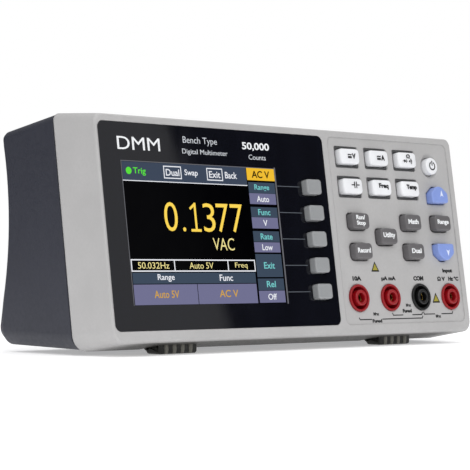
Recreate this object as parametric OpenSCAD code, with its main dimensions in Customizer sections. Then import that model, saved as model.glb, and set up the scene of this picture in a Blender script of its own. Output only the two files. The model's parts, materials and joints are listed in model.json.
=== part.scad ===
// Bench multimeter: leaning front bezel with display window, 20 keys and four shrouded input jacks,
// a rear case that holds the boards, fuses and sockets, and two flip-out tilt legs.
// Millimetres. +X right, +Y to the back, +Z up. The resting plane is z = 0.

/* [Body] */
// Width of the front face
front_w = 198; // [180:0.5:220]
// Height of the front face, measured along its slope
front_h = 85.4; // [75:0.1:100]
// Angle by which the front face leans back
lean = 8.5; // [0:0.5:20]
// Overall depth of the case
case_d = 70.2; // [60:0.5:90]
// Height of the front lower edge above the table
edge_z = 5; // [4.5:0.1:8]
// Depth of the bezel, square to the front face
bezel_d = 21.6; // [18:0.1:26]
// Sideways flare of the bezel towards the seam
flare_x = 2.5; // [0:0.1:5]
// Upward flare of the bezel towards the seam
flare_top = 4.3; // [0:0.1:6]
// Downward flare of the bezel towards the seam
flare_bottom = 0.3; // [0:0.1:2]
// Radius of the upper corners of the front face
corner_r = 3; // [2:0.5:8]
// Radius of the lower corners of the front face
foot_r = 5; // [2:0.5:8]
// Wall thickness of both housings
wall = 2.4; // [2:0.1:3]
// Thickness of the bezel's front panel
panel_t = 2.6; // [2.2:0.1:3.2]
// Width of the seam between bezel and rear case
seam = 0.9; // [0.4:0.1:1.5]

/* [Display] */
// Width of the window
win_w = 116.2; // [100:0.1:120]
// Height of the window
win_h = 78; // [70:0.5:82]
// Position of the window's centre across the front face
win_x = -39.9; // [-45:0.05:-30]
// Position of the window's centre up the front face
win_u = 43.5; // [40:0.25:46]
// Width of the lit display
lcd_w = 78; // [70:0.5:84]
// Height of the lit display
lcd_h = 54; // [48:0.5:58]
// Position of the display's centre across the front face
lcd_x = -49.45; // [-52:0.05:-44]
// Position of the display's centre up the front face
lcd_u = 40.9; // [36:0.1:46]

/* [Keys] */
// How far every key can be pushed in
travel = 1.2; // [0.8:0.1:1.4]
// Play between a key and its hole
key_gap = 0.35; // [0.3:0.05:0.5]
// Width of a key beside the display
soft_w = 8.2; // [8:0.1:10]
// Height of a key beside the display
soft_h = 6.2; // [5:0.1:7.5]
// Distance from one key beside the display to the next
soft_pitch = 10.65; // [9.5:0.05:12]
// Width of a white function key
func_w = 11.4; // [10:0.1:12.5]
// Height of a white function key
func_h = 6.5; // [6:0.1:8]
// Width of the well round a white function key
well_w = 13.9; // [13:0.1:15]
// Height of the well round a white function key
well_h = 9.1; // [8:0.1:10]
// Width of a dark menu key
menu_w = 10.4; // [9:0.1:12]
// Height of a dark menu key
menu_h = 6.8; // [6:0.1:8]
// Radius of the power button
power_r = 3.7; // [3:0.1:4.5]

/* [Jacks] */
// Distance from one input jack to the next, the standard three quarters of an inch
jack_pitch = 19.05; // [19:0.05:19.1]
// Position of the first input jack across the front face
jack_x0 = 30.4; // [28:0.05:34]
// Height of the input jacks up the front face
jack_u = 15.35; // [14:0.05:18]
// Inner radius of the sprung contact, for a 4 mm plug
jack_bore_r = 2; // [1.95:0.05:2.05]

/* [Legs and feet] */
// Width of a tilt leg
leg_w = 19.3; // [14:0.1:22]
// Distance of each tilt leg from the middle
leg_x = 60.45; // [50:0.05:70]
// Distance from the front lower edge to the front of a tilt leg
leg_front = 9.5; // [7:0.5:10]
// Distance from a tilt leg's front to its pivot
leg_len = 8; // [8:0.5:10]
// Height of the leg pivot above the table
leg_pivot_z = 3.7; // [3.4:0.1:4]
// Distance of each rear foot from the middle
foot_x = 50; // [40:1:88]

/* [Hidden] */
$fn = 48;
yf = -case_d / 2 + 0.33;
seat = 1.6;
hush = 0.4;
gask_t = 0.8;
fl0 = panel_t + gask_t + 0.3;
fl1 = fl0 + 1;
plunger = fl1 + travel + 0.3;
kb0 = plunger + 4;
kb1 = kb0 + 1.6;
mb0 = 26;
mb1 = 27.6;
back_w = front_w + 2 * flare_x;
back_h = front_h + flare_top + flare_bottom;
back_u = (front_h + flare_top - flare_bottom) / 2;
case_w = back_w - 0.6;
case_low = 0.3;
case_top = 89.6;
rear_low = 2.7;
rear_top = 85.6;
hollow = 6.4;
hollow_r = 129;
hollow_z = 50;
rear_in = case_d - 8.9;
post_u = [[-86, 6.9], [-86, 80], [19, 7.5], [78.4, 6.9], [86, 82]];
kpost_u = [[20.5, 77], [20.5, 29], [57, 26.5], [75.6, 51]];
soft_x = 8.3;
soft_u0 = 60.6;
func_x = [32.15, 49.8, 67.45];
func_u = [74.45, 61.85];
menu_x = [33.6, 49.8, 65.85, 85.05];
menu_u = [47.15, 40.9, 34.6];
power_xu = [83.6, 72.5];
up_xu = [85, 59.6];
down_xu = [85, 34.5];
screw_x = 95.5;
screw_z = [30, 72];
pin_y = yf + leg_front + leg_len;
rb0 = yf + 44;
rb1 = yf + 45.6;
rb_x = -48;
rb_z = 32;
rb_w = 62;
rb_h = 36;
usb_x = -60;
dc_x = -32;
sock_z = 31;
fuse_x = [40, 68];
fuse_z = 30;
spot = yf + case_d - hollow + 1;
soft_pos = [for (i = [0:4]) [soft_x, soft_u0 - i * soft_pitch]];
func_pos = [for (u = func_u) for (x = func_x) [x, u]];
menu_pos = [[menu_x[0], menu_u[0]], [menu_x[2], menu_u[0]], [menu_x[3], menu_u[0]],
  [menu_x[1], menu_u[1]], [menu_x[0], menu_u[2]], [menu_x[2], menu_u[2]]];
key_pos = concat(soft_pos, func_pos, menu_pos, [power_xu, up_xu, down_xu]);

// Puts its children into the leaning frame of the front face: x across, y inwards, z up the slope
module front_frame() {
  translate([0, yf, edge_z]) rotate([-lean, 0, 0]) children();
}

// Rounded rectangle in the plane
module rr(w, h, r) {
  square([w - 2 * r, h], center = true);
  square([w, h - 2 * r], center = true);
  for (i = [-1, 1]) for (j = [-1, 1]) translate([i * (w / 2 - r), j * (h / 2 - r)]) circle(r);
}

// Rounded bar from depth y0 to depth y1, centred on (x, u)
module bar(x, u, w, h, r, y0, y1) {
  translate([x, y1, u]) rotate([90, 0, 0]) linear_extrude(y1 - y0) rr(w, h, r);
}

// Plain bar from depth y0 to depth y1, centred on (x, u)
module block(x, u, w, h, y0, y1) {
  translate([x - w / 2, y0, u - h / 2]) cube([w, y1 - y0, h]);
}

// Round bar from depth y0 to depth y1
module rod(x, u, r, y0, y1) {
  translate([x, y1, u]) rotate([90, 0, 0]) cylinder(h = y1 - y0, r = r);
}

// Four corner posts of an outline from u0 to u1, with their own radii above and below
module outline(u0, u1, w, r_up, r_low, y0, y1) {
  for (i = [-1, 1]) {
    rod(i * (w / 2 - r_up), u1 - r_up, r_up, y0, y1);
    rod(i * (w / 2 - r_low), u0 + r_low, r_low, y0, y1);
  }
}

// Solid between the front outline and the seam outline, shrunk by k, from depth y0
module bezel_solid(k, y0, edge, y1) {
  e = k + edge;
  r_front = max(corner_r - k - edge / 2, 0.8);
  r_rim = max(corner_r - k, 0.8);
  hull($fn = 32) {
    outline(e, front_h - e, front_w - 2 * e, r_front, max(foot_r - e, 1), y0, y0 + 0.02);
    outline(k, front_h - k, front_w - 2 * k, r_rim, max(foot_r - k, 1), y0 + edge, y0 + edge + 0.02);
    outline(k - flare_bottom, front_h + flare_top - k, back_w - 2 * k, r_rim + 0.2, max(foot_r + 1 - k, 1),
      y1 - 0.02, y1);
  }
}

// Solid of the rear case, shrunk by k, from the seam to the depth yr
module case_solid(k, y0, yr) {
  hull($fn = 32) {
    front_frame() outline(case_low + k, case_top - k, case_w - 2 * k, 3.4 - k, 5.8 - k, y0, y0 + 0.02);
    outline(rear_low + k, rear_top - k, case_w - 0.6 - 2 * k, 3.4 - k, 5.5 - k, yr - 3, yr - 2.98);
    outline(rear_low + k + 1.8, rear_top - k - 1.4, case_w - 2 - 2 * k, 3.4 - k, 5 - k, yr - 0.02, yr);
  }
}

// Blank of one key: cap that stands out by out, and a wider flange behind the panel
module key_shape(p, w, h, r, out, fw, fh) {
  bar(p[0], p[1], w, h, r, -out, fl0);
  bar(p[0], p[1], fw, fh, 1, fl0, fl1);
}

// Outline of an arrow key, pointing up, grown by g
module arrow_outline(g) {
  w = menu_w / 2 + g;
  h = 3.6 + g;
  eave = 0.8 + g * 0.45;
  polygon([[-w, -h], [w, -h], [w, eave], [1.4 + g / 2, h], [-1.4 - g / 2, h], [-w, eave]]);
}

// Prism of an arrow key from depth y0 to depth y1, dir 1 points up and -1 points down
module arrow_bar(p, dir, g, y0, y1) {
  translate([p[0], y1, p[1]]) rotate([90, 0, 0]) linear_extrude(y1 - y0) scale([1, dir]) arrow_outline(g);
}

// All key passages, grown by g, from depth y0 to depth y1
module key_passages(g, y0, y1) {
  for (p = func_pos) bar(p[0], p[1], func_w + 2 * g, func_h + 2 * g, 1 + g, y0, y1);
  for (p = menu_pos) bar(p[0], p[1], menu_w + 2 * g, menu_h + 2 * g, 1.6 + g, y0, y1);
  arrow_bar(up_xu, 1, g, y0, y1);
  arrow_bar(down_xu, -1, g, y0, y1);
  rod(power_xu[0], power_xu[1], power_r + g, y0, y1);
}

module front_bezel() color([0.74, 0.75, 0.77]) {
  difference() {
    union() {
      front_frame() difference() {
        bezel_solid(0, 0, 0.8, bezel_d);
        difference() {
          bezel_solid(wall, panel_t, 0, bezel_d + 0.1);
          for (p = kpost_u) rod(p[0], p[1], 2.5, panel_t - 1, kb0);
        }
      }
      front_frame() intersection() {
        for (p = post_u) rod(p[0], p[1], 2.8, panel_t - 1, mb0);
        translate([-back_w, 0, 2]) cube([2 * back_w, mb0, case_top]);
      }
      intersection() {
        for (s = [-1, 1]) for (z = screw_z) rod(s * screw_x, z, 2.9, yf, yf + 40);
        front_frame() translate([-back_w / 2 + 1, 11.5, 2]) cube([back_w - 2, bezel_d - 11.5, 80]);
      }
      intersection() {
        for (s = [-1, 1]) {
          translate([s * leg_x - leg_w / 2 - 2.6, yf + leg_front - 2.2, 1]) {
            cube([leg_w + 5.2, leg_len + 7.2, 7.9]);
          }
        }
        front_frame() bezel_solid(0.6, 0, 0.8, bezel_d);
      }
    }
    front_frame() {
      bar(win_x, win_u, win_w + 0.2, win_h + 0.2, 2.7, -1, seat);
      bar(lcd_x, lcd_u, lcd_w + 1.4, lcd_h + 1.4, 1, seat - 0.1, panel_t + 0.1);
      bar(58.4, 43.5, 74, 78.2, 2.7, -1, hush);
      for (p = soft_pos) {
        bar(p[0], p[1], soft_w + 2 * key_gap, soft_h + 2 * key_gap, 1.3, seat - 0.1, panel_t + 0.1);
      }
      for (p = func_pos) bar(p[0], p[1], well_w, well_h, 0.8, -1, panel_t + 0.1);
      for (p = menu_pos) {
        bar(p[0], p[1], menu_w + 2 * key_gap, menu_h + 2 * key_gap, 1.9, -1, panel_t + 0.1);
      }
      arrow_bar(up_xu, 1, key_gap, -1, panel_t + 0.1);
      arrow_bar(down_xu, -1, key_gap, -1, panel_t + 0.1);
      rod(power_xu[0], power_xu[1], power_r + key_gap, -1, panel_t + 0.1);
      translate([power_xu[0], hush - 0.01, power_xu[1]]) rotate([-90, 0, 0]) {
        cylinder(h = 1.2, r1 = 5.5, r2 = 4.3);
      }
      for (i = [0:3]) rod(jack_x0 + i * jack_pitch, jack_u, 5.75, -1, panel_t + 0.1);
      for (p = post_u) rod(p[0], p[1], 1.25, 16, mb0 + 1);
      for (p = kpost_u) rod(p[0], p[1], 1.25, 4.5, kb0 + 1);
    }
    for (s = [-1, 1]) {
      translate([s * leg_x - leg_w / 2 - 0.4, yf + leg_front - 0.6, -5]) {
        cube([leg_w + 0.8, leg_len + 4.6, 11.7]);
      }
      translate([s * leg_x, pin_y, leg_pivot_z]) rotate([0, 90, 0]) {
        cylinder(h = leg_w + 4, r = 1.22, center = true);
      }
      rod(s * screw_x, screw_z[0], 1.55, yf + 17.2, yf + 40);
      rod(s * screw_x, screw_z[1], 1.55, yf + 23.4, yf + 45);
    }
  }
}

module rear_case() color([0.2, 0.2, 0.23]) {
  difference() {
    union() {
      difference() {
        case_solid(0, bezel_d + seam, yf + case_d);
        case_solid(wall, bezel_d + seam - 0.1, yf + rear_in);
      }
      front_frame() difference() {
        hull($fn = 32) {
          bar(0, back_u, back_w - 6.4, back_h - 6.8, 3.2, bezel_d - 1.6, bezel_d + seam + 0.5);
        }
        hull($fn = 32) {
          bar(0, back_u, back_w - 9, back_h - 9.4, 2, bezel_d - 3, bezel_d + seam + 1);
        }
      }
      intersection() {
        for (s = [-1, 1]) for (z = screw_z) {
          rod(s * screw_x, z, 3.2, yf, yf + rear_in + 2);
          rod(s * (screw_x - 1), z, 5, yf + 51, yf + rear_in + 2);
        }
        case_solid(1, bezel_d + seam, yf + case_d);
      }
      for (i = [-1, 1]) for (j = [-1, 1]) rod(rb_x + i * 27, rb_z + j * 14, 2.6, rb1, yf + rear_in + 1);
    }
    translate([-150, yf + case_d + hollow_r - hollow, hollow_z]) rotate([0, 90, 0]) {
      cylinder(h = 300, r = hollow_r, $fn = 180);
    }
    for (s = [-1, 1]) {
      for (z = screw_z) {
        rod(s * screw_x, z, 1.7, yf, yf + 75);
        rod(s * screw_x, z, 3.2, yf + 58, yf + 75);
        front_frame() translate([s * (screw_x - 0.6) - 3.7, bezel_d - 4, z - 5]) cube([8.4, 4, 11]);
      }
      front_frame() translate([s * leg_x - leg_w / 2 - 3, bezel_d - 4, -2]) cube([leg_w + 6, 4.6, 10]);
      translate([s * foot_x, yf + 57, 0]) cylinder(h = 4.3, r = 5.05);
    }
    for (x = fuse_x) {
      rod(x, fuse_z, 6.25, yf + 50, yf + 75);
      rod(x, fuse_z, 7.7, spot, yf + 75);
    }
    block(usb_x, sock_z, 12.1, 11.1, yf + 50, yf + 75);
    block(dc_x, sock_z, 9.1, 11.1, yf + 50, yf + 75);
    for (i = [-1, 1]) for (j = [-1, 1]) rod(rb_x + i * 27, rb_z + j * 14, 1.05, rb1 - 1, yf + 58);
    for (i = [-6:6]) bar(i * 5, 66, 2.4, 16, 1.19, yf + 50, yf + 75);
  }
}

module display_window() color([0.05, 0.05, 0.08]) front_frame() {
  difference() {
    bar(win_x, win_u, win_w, win_h, 2.6, 0.1, seat);
    for (p = soft_pos) bar(p[0], p[1], soft_w + 2 * key_gap, soft_h + 2 * key_gap, 1.3, -1, seat + 1);
  }
}

module lcd_panel() color([0.1, 0.12, 0.2]) front_frame() {
  bar(lcd_x, lcd_u, lcd_w + 5, lcd_h + 4.5, 0.5, panel_t, 4);
}

module lcd_housing() color([0.7, 0.71, 0.73]) front_frame() {
  difference() {
    bar(lcd_x, lcd_u, lcd_w + 8, lcd_h + 8, 1, panel_t, 8.5);
    bar(lcd_x, lcd_u, lcd_w + 5.1, lcd_h + 4.6, 0.5, panel_t - 1, 4);
  }
}

module keypad_gasket() color([0.2, 0.2, 0.21]) front_frame() {
  difference() {
    union() {
      bar(58.5, 54.5, 70, 51.4, 2, panel_t, panel_t + gask_t);
      for (p = func_pos) bar(p[0], p[1], well_w - 0.2, well_h - 0.2, 0.7, 0.9, panel_t + 0.1);
    }
    key_passages(key_gap, 0, 6);
    for (p = kpost_u) rod(p[0], p[1], 2.6, 0, 6);
    rod(post_u[4][0], post_u[4][1], 3, 0, 6);
  }
}

module key_board() color([0.1, 0.4, 0.2]) front_frame() {
  difference() {
    union() {
      translate([-2, kb0, 24]) cube([91.5, 1.6, 54.8]);
      translate([-2, kb0, 11.5]) cube([22, 1.6, 13]);
    }
    for (p = kpost_u) rod(p[0], p[1], 1.4, kb0 - 1, kb1 + 1);
  }
}

module tact_switches() color([0.15, 0.15, 0.15]) front_frame() {
  for (p = key_pos) {
    block(p[0], p[1], 6, 6, plunger + 0.9, kb0);
    rod(p[0], p[1], 1.7, plunger, plunger + 0.9);
  }
}

module main_board() color([0.08, 0.32, 0.2]) front_frame() {
  difference() {
    translate([-89.5, mb0, 4.4]) cube([179, mb1 - mb0, 79.4]);
    for (p = post_u) rod(p[0], p[1], 1.4, mb0 - 1, mb1 + 1);
    for (i = [0:3]) rod(jack_x0 + i * jack_pitch, jack_u, 1.3, mb0 - 1, mb1 + 1);
  }
}

module main_chips() color([0.12, 0.12, 0.13]) front_frame() {
  block(5, 45, 14, 14, mb1, mb1 + 1.5);
  block(-25, 60, 10, 10, mb1, mb1 + 1.5);
  for (i = [0:2]) block(30 + i * 12, 40, 6, 5, mb1, mb1 + 1.6);
  block(5, 22, 8, 6, mb1, mb1 + 1.8);
}

module relays() color([0.85, 0.85, 0.82]) front_frame() {
  for (i = [0:2]) block(-70 + i * 19, 30, 15, 10, mb0 - 11, mb0);
}

module capacitors() color([0.15, 0.17, 0.3]) front_frame() {
  for (i = [0:1]) rod(48 + i * 11, 62, 4, mb1, mb1 + 8);
  for (i = [0:1]) rod(-8, 66 + i * 9, 3.1, mb1, mb1 + 6);
}

module shunt_resistor() color([0.72, 0.55, 0.35]) front_frame() {
  difference() {
    block(38, 26, 16, 2.4, mb0 - 7, mb0);
    block(38, 26, 11.2, 4, mb0 - 4.6, mb0 + 1);
  }
}

module shield_can() color([0.78, 0.79, 0.8]) front_frame() {
  difference() {
    bar(-58, 64, 38, 26, 0.8, mb1, mb1 + 6);
    bar(-58, 64, 37, 25, 0.4, mb1 - 1, mb1 + 5.5);
  }
}

module buzzer() color([0.1, 0.1, 0.1]) front_frame() {
  difference() {
    rod(20, 70, 6, mb1, mb1 + 6);
    rod(20, 70, 1, mb1 + 4.5, mb1 + 7);
  }
}

module board_cables() color([0.8, 0.8, 0.82]) {
  front_frame() block(50, 73, 20, 0.8, kb1, mb0);
  translate([rb_x + 6, yf + 34.05, 45]) cube([14, rb0 - yf - 34.05, 0.8]);
}

module lcd_flex() color([0.75, 0.45, 0.1]) front_frame() {
  block(-20, 14.5, 20, 0.3, 8.5, mb0);
}

// Shrouded jack: ring flush with the panel, deep annular gap and a raised middle boss
module jack_shape(i) {
  x = jack_x0 + i * jack_pitch;
  difference() {
    union() {
      rod(x, jack_u, 5.65, -0.5, panel_t);
      rod(x, jack_u, 7, panel_t, panel_t + 2);
      rod(x, jack_u, 6, panel_t + 2, 21);
    }
    difference() {
      rod(x, jack_u, 4.7, -2, 16);
      rod(x, jack_u, 3.3, -3, 17);
    }
    rod(x, jack_u, 2.65, 1.2, 22);
    rod(x, jack_u, jack_bore_r, -2, 2);
  }
  difference() {
    rod(x, jack_u, 3.3, -1.4, 0);
    rod(x, jack_u, jack_bore_r, -2, 1);
  }
}

module jack_10a() color([0.7, 0.08, 0.15]) front_frame() jack_shape(0);

module jack_ma() color([0.7, 0.08, 0.15]) front_frame() jack_shape(1);

module jack_common() color([0.06, 0.06, 0.07]) front_frame() jack_shape(2);

module jack_volts() color([0.7, 0.08, 0.15]) front_frame() jack_shape(3);

module jack_contacts() color([0.8, 0.68, 0.35]) front_frame() {
  for (i = [0:3]) {
    x = jack_x0 + i * jack_pitch;
    difference() {
      rod(x, jack_u, 2.6, 1.25, 23);
      rod(x, jack_u, jack_bore_r, 0, 21.5);
    }
    rod(x, jack_u, 1, 22.9, 28.4);
  }
}

module rear_board() color([0.08, 0.32, 0.2]) {
  difference() {
    block(rb_x, rb_z, rb_w, rb_h, rb0, rb1);
    for (i = [-1, 1]) for (j = [-1, 1]) rod(rb_x + i * 27, rb_z + j * 14, 1.2, rb0 - 1, rb1 + 1);
  }
}

module usb_socket() color([0.75, 0.76, 0.78]) {
  difference() {
    block(usb_x, sock_z, 12, 11, rb1, spot + 0.6);
    block(usb_x, sock_z, 9, 8.4, spot - 9, spot + 2);
  }
  block(usb_x, sock_z, 5.6, 3.2, spot - 9.5, spot - 1);
}

module dc_socket() color([0.1, 0.1, 0.1]) {
  difference() {
    block(dc_x, sock_z, 9, 11, rb1, spot + 0.6);
    rod(dc_x, sock_z, 3.2, spot - 10, spot + 2);
  }
  rod(dc_x, sock_z, 1, spot - 10.5, spot - 1);
}

module fuse_holders() color([0.1, 0.1, 0.1]) {
  for (x = fuse_x) {
    difference() {
      union() {
        rod(x, fuse_z, 6.2, yf + 38.5, spot);
        rod(x, fuse_z, 7.6, spot, spot + 1.6);
      }
      rod(x, fuse_z, 5.35, yf + 40, spot + 3);
    }
  }
}

// Bayonet cap of a fuse holder: slotted knob with a tubular stem
module fuse_cap(x) {
  difference() {
    union() {
      rod(x, fuse_z, 6.6, spot + 1.9, spot + 4);
      rod(x, fuse_z, 5, spot - 10, spot + 1.9);
    }
    rod(x, fuse_z, 2.95, spot - 11, spot - 1.5);
    block(x, fuse_z, 9, 1.6, spot + 2.8, spot + 5);
  }
}

module fuse_cap_left() color([0.12, 0.12, 0.12]) fuse_cap(fuse_x[0]);

module fuse_cap_right() color([0.12, 0.12, 0.12]) fuse_cap(fuse_x[1]);

module fuses() color([0.85, 0.85, 0.85]) {
  for (x = fuse_x) rod(x, fuse_z, 2.6, yf + 40, yf + 60);
}

// Screw with a round head and a cross recess, head towards +Y
module screw(x, z, r, y0, y1, hr, hh) {
  rod(x, z, r, y0, y1);
  difference() {
    rod(x, z, hr, y1, y1 + hh);
    block(x, z, hr * 1.1, 0.6, y1 + hh - 0.9, y1 + hh + 1);
    block(x, z, 0.6, hr * 1.1, y1 + hh - 0.9, y1 + hh + 1);
  }
}

module case_screws() color([0.5, 0.5, 0.52]) {
  for (s = [-1, 1]) {
    screw(s * screw_x, screw_z[0], 1.5, yf + 17.5, yf + 58, 2.9, 2.2);
    screw(s * screw_x, screw_z[1], 1.5, yf + 24, yf + 58, 2.9, 2.2);
  }
}

module board_screws() color([0.72, 0.72, 0.74]) {
  front_frame() {
    for (p = post_u) screw(p[0], p[1], 1.2, 17, mb1, 2.4, 1.7);
    for (p = kpost_u) screw(p[0], p[1], 1.2, 5, kb1, 2.3, 1.6);
  }
  for (i = [-1, 1]) for (j = [-1, 1]) {
    translate([rb_x + i * 27, rb0, rb_z + j * 14]) {
      mirror([0, 1, 0]) screw(0, 0, 1, -9, 0, 2, 1.4);
    }
  }
}

module rear_feet() color([0.08, 0.08, 0.08]) {
  for (s = [-1, 1]) translate([s * foot_x, yf + 57, 0]) cylinder(h = 4.3, r = 5);
}

// Flip-out leg: block with ribbed front, bevelled lower sides and a round pivot end
module tilt_leg(x) {
  y0 = yf + leg_front;
  difference() {
    union() {
      translate([x - leg_w / 2, pin_y, leg_pivot_z]) rotate([90, 0, 90]) linear_extrude(leg_w) {
        polygon([[0, 1.2], [0.6 - leg_len, 1.2], [0.6 - leg_len, -leg_pivot_z],
          [0, -leg_pivot_z], [1.8, -1.75], [2.2, 0]]);
      }
      translate([x - leg_w / 2, pin_y, leg_pivot_z]) rotate([0, 90, 0]) cylinder(h = leg_w, r = 2.5);
      for (i = [0:3]) translate([x - 6 + i * 4, y0 + 1.1, 0]) cylinder(h = 4.9, r = 1.1);
    }
    translate([x, pin_y, leg_pivot_z]) rotate([0, 90, 0]) cylinder(h = leg_w + 2, r = 1.28, center = true);
    for (s = [-1, 1]) {
      translate([x + s * leg_w / 2, y0, 0]) rotate([0, 45, 0]) cube([3, 40, 3], center = true);
    }
  }
}

module tilt_leg_left() color([0.17, 0.17, 0.18]) tilt_leg(-leg_x);

module tilt_leg_right() color([0.17, 0.17, 0.18]) tilt_leg(leg_x);

module leg_pins() color([0.7, 0.7, 0.72]) {
  for (s = [-1, 1]) {
    translate([s * leg_x, pin_y, leg_pivot_z]) rotate([0, 90, 0]) {
      cylinder(h = leg_w + 3.6, r = 1.2, center = true);
    }
  }
}

module soft_key(i) color([0.62, 0.62, 0.64]) front_frame() {
  key_shape(soft_pos[i], soft_w, soft_h, 1, 2.9, soft_w + 2.4, soft_h + 2.4);
}

module soft_key_1() soft_key(0);
module soft_key_2() soft_key(1);
module soft_key_3() soft_key(2);
module soft_key_4() soft_key(3);
module soft_key_5() soft_key(4);

module func_key(i) color([0.92, 0.92, 0.93]) front_frame() {
  key_shape(func_pos[i], func_w, func_h, 1, 2.4, 15.4, 10.4);
}

module key_volts() func_key(0);
module key_amps() func_key(1);
module key_ohms() func_key(2);
module key_capacitance() func_key(3);
module key_frequency() func_key(4);
module key_temperature() func_key(5);

module menu_key(i) color([0.27, 0.26, 0.27]) front_frame() {
  key_shape(menu_pos[i], menu_w, menu_h, 1.6, 3, menu_w + 2.4, menu_h + 2.2);
}

module key_run_stop() menu_key(0);
module key_math() menu_key(1);
module key_range() menu_key(2);
module key_utility() menu_key(3);
module key_record() menu_key(4);
module key_dual() menu_key(5);

module arrow_key(p, dir) color([0.4, 0.5, 0.78]) front_frame() {
  arrow_bar(p, dir, 0, -3, fl0);
  bar(p[0], p[1], menu_w + 2.4, 9, 1, fl0, fl1);
}

module key_up() arrow_key(up_xu, 1);
module key_down() arrow_key(down_xu, -1);

module power_button() color([0.93, 0.93, 0.94]) front_frame() {
  rod(power_xu[0], power_xu[1], power_r, -1.5, fl0);
  rod(power_xu[0], power_xu[1], power_r + 1.4, fl0, fl1);
}

front_bezel();
rear_case();
display_window();
lcd_panel();
lcd_housing();
keypad_gasket();
key_board();
tact_switches();
main_board();
main_chips();
relays();
capacitors();
shunt_resistor();
shield_can();
buzzer();
board_cables();
lcd_flex();
jack_10a();
jack_ma();
jack_common();
jack_volts();
jack_contacts();
rear_board();
usb_socket();
dc_socket();
fuse_holders();
fuse_cap_left();
fuse_cap_right();
fuses();
case_screws();
board_screws();
rear_feet();
tilt_leg_left();
tilt_leg_right();
leg_pins();
soft_key_1();
soft_key_2();
soft_key_3();
soft_key_4();
soft_key_5();
key_volts();
key_amps();
key_ohms();
key_capacitance();
key_frequency();
key_temperature();
power_button();
key_up();
key_down();
key_run_stop();
key_math();
key_range();
key_utility();
key_record();
key_dual();
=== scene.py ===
import json
import math

import bmesh
import bpy
from mathutils import Matrix, Vector


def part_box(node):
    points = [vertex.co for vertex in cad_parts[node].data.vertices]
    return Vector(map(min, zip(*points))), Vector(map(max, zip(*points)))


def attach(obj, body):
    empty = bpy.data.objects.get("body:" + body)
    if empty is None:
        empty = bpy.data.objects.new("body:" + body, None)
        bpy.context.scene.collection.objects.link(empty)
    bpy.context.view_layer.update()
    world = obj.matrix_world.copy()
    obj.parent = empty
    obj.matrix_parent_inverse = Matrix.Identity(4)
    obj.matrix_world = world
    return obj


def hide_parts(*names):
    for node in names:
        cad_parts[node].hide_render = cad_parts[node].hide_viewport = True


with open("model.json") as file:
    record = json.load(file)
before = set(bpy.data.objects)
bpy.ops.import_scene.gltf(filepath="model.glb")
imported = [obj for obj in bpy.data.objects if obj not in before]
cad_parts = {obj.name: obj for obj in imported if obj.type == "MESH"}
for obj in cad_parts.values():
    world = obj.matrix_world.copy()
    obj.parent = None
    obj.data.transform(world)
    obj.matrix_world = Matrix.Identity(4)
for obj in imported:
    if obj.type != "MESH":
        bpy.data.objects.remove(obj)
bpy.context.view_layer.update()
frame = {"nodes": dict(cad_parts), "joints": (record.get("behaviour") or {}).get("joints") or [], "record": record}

# ---------------------------------------------------------------- where things are

MM = 0.001
TURN = 2 * math.pi

record = frame["record"]
key_travel = next(j for j in frame["joints"] if j["name"] == "key_volts_press")
INTO = Vector(key_travel["axis"]).normalized()
ACROSS = Vector((1, 0, 0))
UP = ACROSS.cross(INTO)
window_low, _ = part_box("display_window")

# Foot of the front face, 1 mm left of its middle.
# The window starts 0.1 mm behind the face and 4.5 mm up it, and is 1.5 mm thick.
FACE_FOOT = Vector((
    -1 * MM,
    window_low.y - (0.1 * INTO.y - 4.5 * INTO.z) * MM,
    window_low.z + (-1.6 * INTO.z - 4.5 * INTO.y) * MM,
))

# Front face: x across, y up the slope, z out of it, in millimetres
FACE = Matrix.Translation(FACE_FOOT) @ Matrix((ACROSS, UP, -INTO)).transposed().to_4x4() @ Matrix.Scale(MM, 4)
# The whole meter, in millimetres
METER = Matrix.Scale(MM, 4)

WHITE_KEYS = {
    "key_volts": (33.15, 74.45), "key_amps": (50.8, 74.45), "key_ohms": (68.45, 74.45),
    "key_capacitance": (33.15, 61.85), "key_frequency": (50.8, 61.85), "key_temperature": (68.45, 61.85),
}
DARK_KEYS = {
    "key_run_stop": (34.6, 47.15), "key_math": (66.85, 47.15), "key_range": (86.05, 47.15),
    "key_utility": (50.8, 40.9), "key_record": (34.6, 34.6), "key_dual": (66.85, 34.6),
}
BLUE_KEYS = {"key_up": (86.0, 59.6, 1), "key_down": (86.0, 34.5, -1)}
SIDE_KEYS = {f"soft_key_{i + 1}": (9.3, 60.6 - 10.65 * i) for i in range(5)}
POWER = (84.6, 72.5)
JACKS = {"jack_10a": 31.4, "jack_ma": 50.45, "jack_common": 69.5, "jack_volts": 88.55}
JACK_UP = 15.35
KEY_BACK = -3.7
FLANGE_BACK = -4.7
KEYPAD_FACE = -0.4
GLASS_FACE = -0.1
# How much the strokes of printed letters are thickened
KEY_BOLD = 0.045
DARK_KEY_BOLD = 0.035
FACE_BOLD = 0.06
BRACKET_LINE = 0.42


# ---------------------------------------------------------------- finishes

def shade(red, green, blue):
    """Colour as seen, 0 to 255, turned into linear light."""
    def linear(value):
        value /= 255
        return value / 12.92 if value <= 0.04045 else ((value + 0.055) / 1.055) ** 2.4
    return (linear(red), linear(green), linear(blue), 1)


def scaled(colour, factor):
    return tuple(min(part * factor, 1) for part in colour[:3]) + (1,)


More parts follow.
